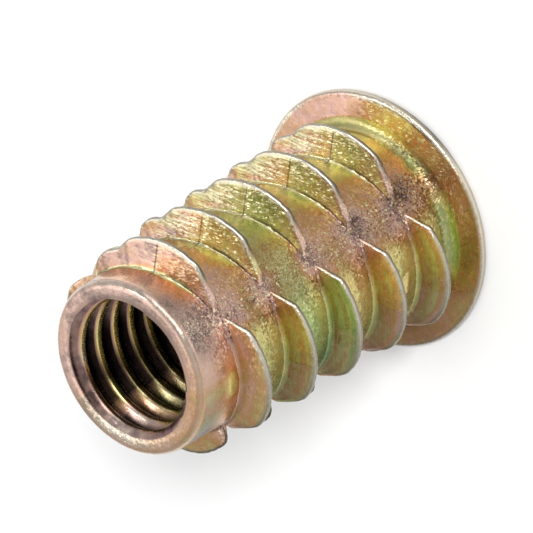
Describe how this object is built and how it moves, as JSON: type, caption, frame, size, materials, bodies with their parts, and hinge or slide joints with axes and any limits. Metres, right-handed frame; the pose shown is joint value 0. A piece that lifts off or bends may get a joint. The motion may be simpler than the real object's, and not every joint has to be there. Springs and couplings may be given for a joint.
{
  "type": "threaded insert",
  "caption": "Flanged hex-drive insert nut for wood, with a coarse lobed outer thread and a machine-threaded bore.",
  "frame": {"origin": "centre of the flange's outer face, on the thread axis", "axes": "+Z along the thread axis from the flange to the tip; -Y towards the first parting line of the die"},
  "size_m": [0.0142, 0.0142, 0.02],
  "materials": {
    "zinc_casting": "satin"
  },
  "bodies": {
    "root": {"threaded_insert": "zinc_casting"}
  },
  "joints": []
}
